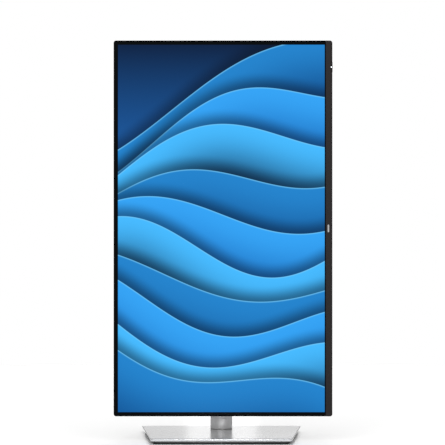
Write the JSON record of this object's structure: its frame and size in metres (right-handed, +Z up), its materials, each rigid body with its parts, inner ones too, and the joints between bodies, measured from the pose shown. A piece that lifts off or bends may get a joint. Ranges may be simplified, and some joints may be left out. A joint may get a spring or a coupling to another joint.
{
  "type": "computer monitor",
  "caption": "Flat thin-bezel desk monitor turned to portrait on a silver column and flat base, with height, tilt, swivel and pivot joints.",
  "frame": {"origin": "on the desk, on the stand's centre line, midway between the front and back edges of the base", "axes": "+Z up, the front of the screen faces -Y, +X to the right as seen from the front"},
  "size_m": [0.3141, 0.18, 0.575],
  "materials": {
    "satin_silver": "satin silver paint",
    "ballast_steel": "rolled",
    "black_plastic": "fine texture",
    "rubber_foot": "matt",
    "fastener_steel": "zinc plated",
    "turned_steel": "turned",
    "nylon_white": "smooth",
    "column_aluminium": "satin anodised",
    "rail_steel": "ground",
    "spring_steel": "tempered",
    "cast_alloy": "as cast",
    "shroud_silver": "satin silver",
    "black_metal": "powder coat",
    "sheet_steel": "galvanised",
    "cover_black": "spark texture",
    "frame_black": "satin",
    "chin_grey": "brushed texture",
    "badge_silver": "satin",
    "lcd_glass": "anti-glare film",
    "optical_film": "pearl",
    "light_guide_acrylic": "clear",
    "led_board": "lacquered",
    "brass": "machined",
    "circuit_board": "solder mask",
    "power_circuit_board": "solder mask",
    "socket_metal": "nickel plated",
    "led_white": "lit",
    "button_grey": "satin"
  },
  "bodies": {
    "base": {"base_cover": "satin_silver", "base_plate": "ballast_steel", "base_tray": "black_plastic", "base_foot_ring": "rubber_foot", "base_screws": "fastener_steel", "swivel_spindle": "turned_steel", "swivel_washer": "nylon_white", "spindle_nut": "fastener_steel"},
    "thumb_screw": {"thumb_screw": "turned_steel"},
    "thumb_screw_ring": {"thumb_screw_ring": "turned_steel"},
    "column": {"column_foot": "column_aluminium", "column_tube": "column_aluminium", "column_cap": "black_plastic", "cable_ring": "black_plastic", "slot_trim": "black_plastic", "guide_rails": "rail_steel", "spring_strip": "spring_steel", "strip_anchor": "rail_steel"},
    "carriage": {"carriage": "cast_alloy", "slide_shoes": "nylon_white", "drum_pin": "turned_steel"},
    "spring_drum": {"spring_drum": "nylon_white", "spring_coil": "spring_steel"},
    "head": {"neck_bracket": "cast_alloy", "neck_shroud": "shroud_silver"},
    "tilt_bracket": {"tilt_bracket": "black_metal", "tilt_shaft": "turned_steel", "tilt_nuts": "fastener_steel", "pivot_hub": "turned_steel", "pivot_washers": "nylon_white", "pivot_retainer": "fastener_steel", "hub_screws": "fastener_steel"},
    "screen": {"pivot_plate": "sheet_steel", "screen_screws": "fastener_steel", "rear_cover": "cover_black", "front_frame": "frame_black", "chin_bezel": "chin_grey", "badge": "badge_silver", "lcd_cell": "lcd_glass", "optical_sheets": "optical_film", "light_guide": "light_guide_acrylic", "led_strip": "led_board", "panel_frame": "black_plastic", "back_chassis": "sheet_steel", "vesa_plate": "sheet_steel", "vesa_inserts": "brass", "shield_box": "sheet_steel", "main_board": "circuit_board", "power_board": "power_circuit_board", "power_inlet": "black_plastic", "inlet_pins": "brass", "signal_sockets": "socket_metal", "key_board": "circuit_board", "led_window": "led_white"},
    "power_button": {"power_button": "button_grey"},
    "release_button": {"release_button": "button_grey"},
    "release_latch": {"release_latch": "sheet_steel"},
    "joystick_yoke": {"joystick_yoke": "nylon_white"},
    "joystick_rocker": {"joystick_rocker": "fastener_steel"},
    "joystick_cap": {"joystick_cap": "button_grey"}
  },
  "joints": [
    {"name": "swivel", "type": "hinge", "parent": "base", "child": "column", "pos_m": [0, 0.054, 0.008], "axis": [0, 0, 1], "range_deg": [-45, 45]},
    {"name": "thumb_screw_turn", "type": "hinge", "parent": "base", "child": "thumb_screw", "pos_m": [0, 0.054, 0.002], "axis": [0, 0, 1], "continuous": true},
    {"name": "thumb_ring_fold", "type": "hinge", "parent": "thumb_screw", "child": "thumb_screw_ring", "pos_m": [0, 0.054, 0.0024], "axis": [-1, 0, 0], "range_deg": [0, 90]},
    {"name": "height_slide", "type": "slide", "parent": "column", "child": "carriage", "axis": [0, 0, 1], "range_m": [-0.02, 0.035]},
    {"name": "spring_drum_turn", "type": "hinge", "parent": "carriage", "child": "spring_drum", "pos_m": [0, 0.0566, 0.2135], "axis": [1, 0, 0], "range_deg": [-240, 140]},
    {"name": "head_lift", "type": "slide", "parent": "carriage", "child": "head", "axis": [0, 0, 1], "range_m": [0, 0.0535]},
    {"name": "tilt", "type": "hinge", "parent": "head", "child": "tilt_bracket", "pos_m": [0, 0.014, 0.3055], "axis": [-1, 0, 0], "range_deg": [-5, 21]},
    {"name": "pivot", "type": "hinge", "parent": "tilt_bracket", "child": "screen", "pos_m": [0, -0.01, 0.3055], "axis": [0, -1, 0], "range_deg": [-90, 0]},
    {"name": "power_press", "type": "slide", "parent": "screen", "child": "power_button", "axis": [-1, 0, 0], "range_m": [0, 0.0008], "stiffness_N_per_m": 1500},
    {"name": "release_press", "type": "slide", "parent": "screen", "child": "release_button", "axis": [0, -1, 0], "range_m": [0, 0.002], "stiffness_N_per_m": 1200},
    {"name": "latch_slide", "type": "slide", "parent": "screen", "child": "release_latch", "axis": [1, 0, 0], "range_m": [0, 0.002]},
    {"name": "joystick_up_down", "type": "hinge", "parent": "screen", "child": "joystick_yoke", "pos_m": [0.13, -0.0406, 0.5195], "axis": [0, 0, 1], "range_deg": [-6, 6], "stiffness_Nm_per_rad": 0.05},
    {"name": "joystick_left_right", "type": "hinge", "parent": "joystick_yoke", "child": "joystick_rocker", "pos_m": [0.13, -0.0406, 0.5195], "axis": [1, 0, 0], "range_deg": [-6, 6], "stiffness_Nm_per_rad": 0.05},
    {"name": "joystick_press", "type": "slide", "parent": "joystick_rocker", "child": "joystick_cap", "axis": [0, -1, 0], "range_m": [0, 0.0005], "stiffness_N_per_m": 1500}
  ],
  "couplings": [
    {"joint": "spring_drum_turn", "follows": "height_slide", "rad_per_m": -117.65},
    {"joint": "head_lift", "follows": "pivot", "m_per_rad": -0.0338},
    {"joint": "latch_slide", "follows": "release_press", "ratio": 1}
  ]
}
